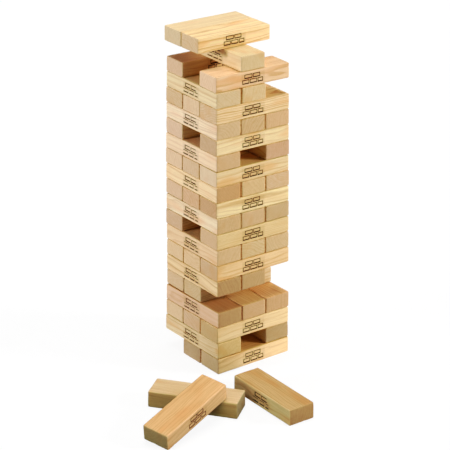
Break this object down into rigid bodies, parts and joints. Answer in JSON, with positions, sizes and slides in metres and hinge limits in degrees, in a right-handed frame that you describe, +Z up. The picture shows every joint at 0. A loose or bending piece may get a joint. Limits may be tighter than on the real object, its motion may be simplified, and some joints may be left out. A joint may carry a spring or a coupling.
{
  "type": "giant tumbling tower",
  "caption": "Lawn game of long wooden blocks stacked in crossed layers of three, part way through a game, with pulled blocks lying in front.",
  "frame": {"origin": "on the ground at the middle of the tower's foot, on the underside of the middle block of the first layer", "axes": "+Z up; odd layers run along X and even layers along Y; -Y is the tower's front and -X its left side"},
  "size_m": [0.4549, 0.4353, 0.678],
  "materials": {
    "wood_amber": "bare sanded",
    "wood_brown": "bare sanded",
    "wood_honey": "bare sanded",
    "wood_pale": "bare sanded",
    "wood_sand": "bare sanded"
  },
  "bodies": {
    "layer_01_front_block": {"layer_01_front_block": "wood_sand"},
    "layer_01_middle_block": {"layer_01_middle_block": "wood_honey"},
    "layer_02_left_block": {"layer_02_left_block": "wood_honey"},
    "layer_02_right_block": {"layer_02_right_block": "wood_honey"},
    "layer_03_front_block": {"layer_03_front_block": "wood_pale"},
    "layer_03_middle_block": {"layer_03_middle_block": "wood_honey"},
    "layer_03_back_block": {"layer_03_back_block": "wood_sand"},
    "layer_04_left_block": {"layer_04_left_block": "wood_pale"},
    "layer_04_middle_block": {"layer_04_middle_block": "wood_pale"},
    "layer_04_right_block": {"layer_04_right_block": "wood_honey"},
    "layer_05_middle_block": {"layer_05_middle_block": "wood_pale"},
    "layer_05_back_block": {"layer_05_back_block": "wood_pale"},
    "layer_06_left_block": {"layer_06_left_block": "wood_sand"},
    "layer_06_middle_block": {"layer_06_middle_block": "wood_honey"},
    "layer_07_front_block": {"layer_07_front_block": "wood_honey"},
    "layer_07_middle_block": {"layer_07_middle_block": "wood_sand"},
    "layer_07_back_block": {"layer_07_back_block": "wood_honey"},
    "layer_08_left_block": {"layer_08_left_block": "wood_pale"},
    "layer_08_middle_block": {"layer_08_middle_block": "wood_honey"},
    "layer_08_right_block": {"layer_08_right_block": "wood_sand"},
    "layer_09_front_block": {"layer_09_front_block": "wood_pale"},
    "layer_09_back_block": {"layer_09_back_block": "wood_honey"},
    "layer_10_left_block": {"layer_10_left_block": "wood_honey"},
    "layer_10_middle_block": {"layer_10_middle_block": "wood_pale"},
    "layer_10_right_block": {"layer_10_right_block": "wood_pale"},
    "layer_11_front_block": {"layer_11_front_block": "wood_sand"},
    "layer_11_middle_block": {"layer_11_middle_block": "wood_honey"},
    "layer_11_back_block": {"layer_11_back_block": "wood_pale"},
    "layer_12_left_block": {"layer_12_left_block": "wood_brown"},
    "layer_12_middle_block": {"layer_12_middle_block": "wood_sand"},
    "layer_12_right_block": {"layer_12_right_block": "wood_honey"},
    "layer_13_front_block": {"layer_13_front_block": "wood_pale"},
    "layer_13_middle_block": {"layer_13_middle_block": "wood_honey"},
    "layer_13_back_block": {"layer_13_back_block": "wood_sand"},
    "layer_14_left_block": {"layer_14_left_block": "wood_pale"},
    "layer_14_right_block": {"layer_14_right_block": "wood_honey"},
    "layer_15_front_block": {"layer_15_front_block": "wood_honey"},
    "layer_15_back_block": {"layer_15_back_block": "wood_pale"},
    "layer_16_left_block": {"layer_16_left_block": "wood_sand"},
    "layer_16_middle_block": {"layer_16_middle_block": "wood_honey"},
    "layer_16_right_block": {"layer_16_right_block": "wood_pale"},
    "layer_17_front_block": {"layer_17_front_block": "wood_honey"},
    "layer_17_middle_block": {"layer_17_middle_block": "wood_sand"},
    "layer_17_back_block": {"layer_17_back_block": "wood_honey"},
    "layer_18_left_block": {"layer_18_left_block": "wood_pale"},
    "layer_18_middle_block": {"layer_18_middle_block": "wood_honey"},
    "layer_19_front_block": {"layer_19_front_block": "wood_pale"},
    "layer_19_back_block": {"layer_19_back_block": "wood_honey"},
    "layer_20_middle_block": {"layer_20_middle_block": "wood_pale"},
    "layer_21_middle_block": {"layer_21_middle_block": "wood_honey"},
    "layer_21_back_block": {"layer_21_back_block": "wood_pale"},
    "loose_block_left": {"loose_block_left": "wood_pale"},
    "loose_block_right": {"loose_block_right": "wood_amber"},
    "loose_block_leaning": {"loose_block_leaning": "wood_amber"}
  },
  "joints": [
    {"name": "layer_01_front_slide", "type": "slide", "parent": "layer_01_middle_block", "child": "layer_01_front_block", "axis": [0.9998, 0.0209, 0], "range_m": [-0.12, 0.18]},
    {"name": "layer_02_left_slide", "type": "slide", "parent": "layer_01_middle_block", "child": "layer_02_left_block", "axis": [-0.0244, 0.9997, 0], "range_m": [-0.16, 0.16]},
    {"name": "layer_02_right_slide", "type": "slide", "parent": "layer_01_middle_block", "child": "layer_02_right_block", "axis": [-0.0244, 0.9997, 0], "range_m": [-0.16, 0.16]},
    {"name": "layer_03_front_slide", "type": "slide", "parent": "layer_01_middle_block", "child": "layer_03_front_block", "axis": [0.9999, 0.0105, 0], "range_m": [-0.18, 0.18]},
    {"name": "layer_03_middle_slide", "type": "slide", "parent": "layer_01_middle_block", "child": "layer_03_middle_block", "axis": [0.9999, 0.0105, 0], "range_m": [-0.18, 0.18]},
    {"name": "layer_03_back_slide", "type": "slide", "parent": "layer_01_middle_block", "child": "layer_03_back_block", "axis": [0.9999, 0.0105, 0], "range_m": [-0.18, 0.18]},
    {"name": "layer_04_left_slide", "type": "slide", "parent": "layer_01_middle_block", "child": "layer_04_left_block", "axis": [-0.0209, 0.9998, 0], "range_m": [-0.18, 0.18]},
    {"name": "layer_04_middle_slide", "type": "slide", "parent": "layer_01_middle_block", "child": "layer_04_middle_block", "axis": [-0.0209, 0.9998, 0], "range_m": [-0.18, 0.18]},
    {"name": "layer_04_right_slide", "type": "slide", "parent": "layer_01_middle_block", "child": "layer_04_right_block", "axis": [-0.0209, 0.9998, 0], "range_m": [-0.18, 0.18]},
    {"name": "layer_05_middle_slide", "type": "slide", "parent": "layer_01_middle_block", "child": "layer_05_middle_block", "axis": [1, 0.0052, 0], "range_m": [-0.16, 0.16]},
    {"name": "layer_05_back_slide", "type": "slide", "parent": "layer_01_middle_block", "child": "layer_05_back_block", "axis": [1, 0.0052, 0], "range_m": [-0.18, 0.18]},
    {"name": "layer_06_left_slide", "type": "slide", "parent": "layer_01_middle_block", "child": "layer_06_left_block", "axis": [-0.0017, 1, 0], "range_m": [-0.18, 0.18]},
    {"name": "layer_06_middle_slide", "type": "slide", "parent": "layer_01_middle_block", "child": "layer_06_middle_block", "axis": [-0.0017, 1, 0], "range_m": [-0.16, 0.16]},
    {"name": "layer_07_front_slide", "type": "slide", "parent": "layer_01_middle_block", "child": "layer_07_front_block", "axis": [1, -0.0017, 0], "range_m": [-0.18, 0.18]},
    {"name": "layer_07_middle_slide", "type": "slide", "parent": "layer_01_middle_block", "child": "layer_07_middle_block", "axis": [1, -0.0017, 0], "range_m": [-0.18, 0.18]},
    {"name": "layer_07_back_slide", "type": "slide", "parent": "layer_01_middle_block", "child": "layer_07_back_block", "axis": [1, -0.0017, 0], "range_m": [-0.18, 0.18]},
    {"name": "layer_08_left_slide", "type": "slide", "parent": "layer_01_middle_block", "child": "layer_08_left_block", "axis": [-0.0017, 1, 0], "range_m": [-0.18, 0.18]},
    {"name": "layer_08_middle_slide", "type": "slide", "parent": "layer_01_middle_block", "child": "layer_08_middle_block", "axis": [-0.0017, 1, 0], "range_m": [-0.18, 0.18]},
    {"name": "layer_08_right_slide", "type": "slide", "parent": "layer_01_middle_block", "child": "layer_08_right_block", "axis": [-0.0017, 1, 0], "range_m": [-0.18, 0.18]},
    {"name": "layer_09_front_slide", "type": "slide", "parent": "layer_01_middle_block", "child": "layer_09_front_block", "axis": [1, 0, 0], "range_m": [-0.16, 0.16]},
    {"name": "layer_09_back_slide", "type": "slide", "parent": "layer_01_middle_block", "child": "layer_09_back_block", "axis": [1, 0, 0], "range_m": [-0.16, 0.16]},
    {"name": "layer_10_left_slide", "type": "slide", "parent": "layer_01_middle_block", "child": "layer_10_left_block", "axis": [-0.0035, 1, 0], "range_m": [-0.18, 0.18]},
    {"name": "layer_10_middle_slide", "type": "slide", "parent": "layer_01_middle_block", "child": "layer_10_middle_block", "axis": [-0.0035, 1, 0], "range_m": [-0.18, 0.18]},
    {"name": "layer_10_right_slide", "type": "slide", "parent": "layer_01_middle_block", "child": "layer_10_right_block", "axis": [-0.0035, 1, 0], "range_m": [-0.18, 0.18]},
    {"name": "layer_11_front_slide", "type": "slide", "parent": "layer_01_middle_block", "child": "layer_11_front_block", "axis": [1, -0.0052, 0], "range_m": [-0.18, 0.18]},
    {"name": "layer_11_middle_slide", "type": "slide", "parent": "layer_01_middle_block", "child": "layer_11_middle_block", "axis": [1, -0.0052, 0], "range_m": [-0.18, 0.18]},
    {"name": "layer_11_back_slide", "type": "slide", "parent": "layer_01_middle_block", "child": "layer_11_back_block", "axis": [1, -0.0052, 0], "range_m": [-0.18, 0.18]},
    {"name": "layer_12_left_slide", "type": "slide", "parent": "layer_01_middle_block", "child": "layer_12_left_block", "axis": [0.0017, 1, 0], "range_m": [-0.18, 0.18]},
    {"name": "layer_12_middle_slide", "type": "slide", "parent": "layer_01_middle_block", "child": "layer_12_middle_block", "axis": [0.0017, 1, 0], "range_m": [-0.18, 0.18]},
    {"name": "layer_12_right_slide", "type": "slide", "parent": "layer_01_middle_block", "child": "layer_12_right_block", "axis": [0.0017, 1, 0], "range_m": [-0.18, 0.18]},
    {"name": "layer_13_front_slide", "type": "slide", "parent": "layer_01_middle_block", "child": "layer_13_front_block", "axis": [1, -0.0052, 0], "range_m": [-0.18, 0.18]},
    {"name": "layer_13_middle_slide", "type": "slide", "parent": "layer_01_middle_block", "child": "layer_13_middle_block", "axis": [1, -0.0052, 0], "range_m": [-0.18, 0.18]},
    {"name": "layer_13_back_slide", "type": "slide", "parent": "layer_01_middle_block", "child": "layer_13_back_block", "axis": [1, -0.0052, 0], "range_m": [-0.18, 0.18]},
    {"name": "layer_14_left_slide", "type": "slide", "parent": "layer_01_middle_block", "child": "layer_14_left_block", "axis": [0.0035, 1, 0], "range_m": [-0.16, 0.16]},
    {"name": "layer_14_right_slide", "type": "slide", "parent": "layer_01_middle_block", "child": "layer_14_right_block", "axis": [0.0035, 1, 0], "range_m": [-0.16, 0.16]},
    {"name": "layer_15_front_slide", "type": "slide", "parent": "layer_01_middle_block", "child": "layer_15_front_block", "axis": [1, -0.007, 0], "range_m": [-0.16, 0.16]},
    {"name": "layer_15_back_slide", "type": "slide", "parent": "layer_01_middle_block", "child": "layer_15_back_block", "axis": [1, -0.007, 0], "range_m": [-0.16, 0.16]},
    {"name": "layer_16_left_slide", "type": "slide", "parent": "layer_01_middle_block", "child": "layer_16_left_block", "axis": [0.0052, 1, 0], "range_m": [-0.18, 0.18]},
    {"name": "layer_16_middle_slide", "type": "slide", "parent": "layer_01_middle_block", "child": "layer_16_middle_block", "axis": [0.0052, 1, 0], "range_m": [-0.18, 0.18]},
    {"name": "layer_16_right_slide", "type": "slide", "parent": "layer_01_middle_block", "child": "layer_16_right_block", "axis": [0.0052, 1, 0], "range_m": [-0.18, 0.18]},
    {"name": "layer_17_front_slide", "type": "slide", "parent": "layer_01_middle_block", "child": "layer_17_front_block", "axis": [1, -0.007, 0], "range_m": [-0.18, 0.18]},
    {"name": "layer_17_middle_slide", "type": "slide", "parent": "layer_01_middle_block", "child": "layer_17_middle_block", "axis": [1, -0.007, 0], "range_m": [-0.18, 0.18]},
    {"name": "layer_17_back_slide", "type": "slide", "parent": "layer_01_middle_block", "child": "layer_17_back_block", "axis": [1, -0.007, 0], "range_m": [-0.18, 0.18]},
    {"name": "layer_18_left_slide", "type": "slide", "parent": "layer_01_middle_block", "child": "layer_18_left_block", "axis": [0.0122, 0.9999, 0], "range_m": [-0.18, 0.18]},
    {"name": "layer_18_middle_slide", "type": "slide", "parent": "layer_01_middle_block", "child": "layer_18_middle_block", "axis": [0.0122, 0.9999, 0], "range_m": [-0.16, 0.16]},
    {"name": "layer_19_front_slide", "type": "slide", "parent": "layer_01_middle_block", "child": "layer_19_front_block", "axis": [0.9999, -0.0157, 0], "range_m": [-0.16, 0.16]},
    {"name": "layer_19_back_slide", "type": "slide", "parent": "layer_01_middle_block", "child": "layer_19_back_block", "axis": [0.9999, -0.0157, 0], "range_m": [-0.16, 0.16]},
    {"name": "layer_20_middle_slide", "type": "slide", "parent": "layer_01_middle_block", "child": "layer_20_middle_block", "axis": [0.007, 1, 0], "range_m": [-0.06, 0.06]},
    {"name": "layer_21_middle_lift", "type": "slide", "parent": "layer_20_middle_block", "child": "layer_21_middle_block", "axis": [0, 0, 1], "range_m": [0, 0.18]},
    {"name": "layer_21_back_lift", "type": "slide", "parent": "layer_20_middle_block", "child": "layer_21_back_block", "axis": [0, 0, 1], "range_m": [0, 0.18]},
    {"name": "loose_left_slide", "type": "slide", "parent": "layer_01_middle_block", "child": "loose_block_left", "axis": [0.6211, -0.7837, 0], "range_m": [-0.18, 0.02]},
    {"name": "loose_right_lift", "type": "slide", "parent": "layer_01_middle_block", "child": "loose_block_right", "axis": [0, 0, 1], "range_m": [0, 0.18]},
    {"name": "loose_leaning_lift", "type": "slide", "parent": "layer_01_middle_block", "child": "loose_block_leaning", "axis": [0, 0, 1], "range_m": [0, 0.18]}
  ]
}
